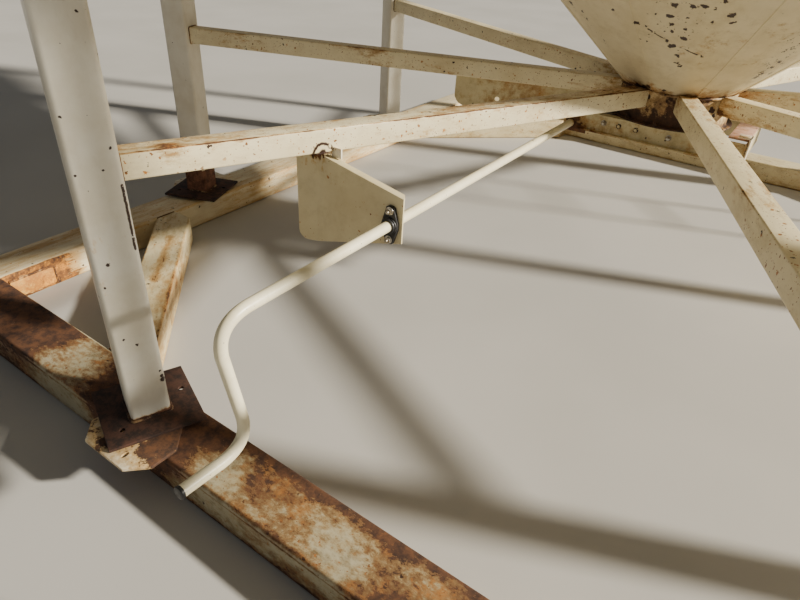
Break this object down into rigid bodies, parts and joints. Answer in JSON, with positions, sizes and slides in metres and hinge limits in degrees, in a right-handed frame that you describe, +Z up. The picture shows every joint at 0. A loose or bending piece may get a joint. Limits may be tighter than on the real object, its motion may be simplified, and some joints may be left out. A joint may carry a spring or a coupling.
{
  "type": "grain silo",
  "caption": "Hopper-bottom steel grain silo on a square skid base, with radial leg braces and a crank-worked slide gate.",
  "frame": {"origin": "on the ground, on the silo's upright axis, midway between the skid beams", "axes": "+Z up, +X to the right and +Y away from someone who stands at the crank"},
  "size_m": [4.96, 4.96, 7.7546],
  "materials": {
    "rusted_frame": "cream paint largely rusted through",
    "cream_frame": "weathered cream paint with rust specks",
    "cream_legs": "cream-white semi-gloss paint, small chips",
    "cream_sheet": "weathered cream paint on welded sheet",
    "bare_steel": "worn bare steel",
    "galvanised_steel": "dull zinc",
    "black_paint": "black paint",
    "black_plastic": "black plastic end cap"
  },
  "bodies": {
    "silo": {"base_beam_front": "rusted_frame", "base_beam_right": "rusted_frame", "base_beam_rear": "rusted_frame", "base_beam_left": "rusted_frame", "corner_member_front_left": "cream_frame", "corner_member_front_right": "cream_frame", "corner_member_rear_right": "cream_frame", "corner_member_rear_left": "cream_frame", "leg_right_rear": "cream_legs", "brace_right_rear": "cream_frame", "leg_rear_right": "cream_legs", "brace_rear_right": "cream_frame", "leg_rear_left": "cream_legs", "brace_rear_left": "cream_frame", "leg_left_rear": "cream_legs", "brace_left_rear": "cream_frame", "leg_left_front": "cream_legs", "brace_left_front": "cream_frame", "leg_front_left": "cream_legs", "brace_front_left": "cream_frame", "leg_front_right": "cream_legs", "brace_front_right": "cream_frame", "leg_right_front": "cream_legs", "brace_right_front": "cream_frame", "barrel_panel_rear_right": "cream_sheet", "roof_panel_rear_right": "cream_sheet", "barrel_panel_rear_left": "cream_sheet", "roof_panel_rear_left": "cream_sheet", "barrel_panel_front_left": "cream_sheet", "roof_panel_front_left": "cream_sheet", "barrel_panel_front_right": "cream_sheet", "roof_panel_front_right": "cream_sheet", "hopper_gore_1": "cream_sheet", "hopper_gore_2": "cream_sheet", "hopper_gore_3": "cream_sheet", "hopper_gore_4": "cream_sheet", "hopper_gore_5": "cream_sheet", "hopper_gore_6": "cream_sheet", "hopper_gore_7": "cream_sheet", "hopper_gore_8": "cream_sheet", "hopper_gore_9": "cream_sheet", "hub_spout": "rusted_frame", "leg_ring": "cream_frame", "filler_neck": "cream_sheet", "filler_lid": "cream_sheet", "gate_frame": "cream_frame", "rod_bracket": "cream_frame", "rod_bearing": "black_paint", "brace_stiffener": "cream_frame", "ladder": "galvanised_steel"},
    "crank": {"crank_rod": "cream_legs", "crank_end_cap": "black_plastic", "pinion_near": "bare_steel", "pinion_far": "bare_steel"},
    "gate": {"gate_slide": "bare_steel"}
  },
  "joints": [
    {"name": "crank_turn", "type": "hinge", "parent": "silo", "child": "crank", "pos_m": [-0.378, -1.625, 0.788], "axis": [0, -1, 0], "range_deg": [0, 515.6]},
    {"name": "gate_travel", "type": "slide", "parent": "silo", "child": "gate", "axis": [-1, 0, 0], "range_m": [0, 0.361]}
  ],
  "couplings": [
    {"joint": "gate_travel", "follows": "crank_turn", "m_per_rad": 0.04}
  ]
}
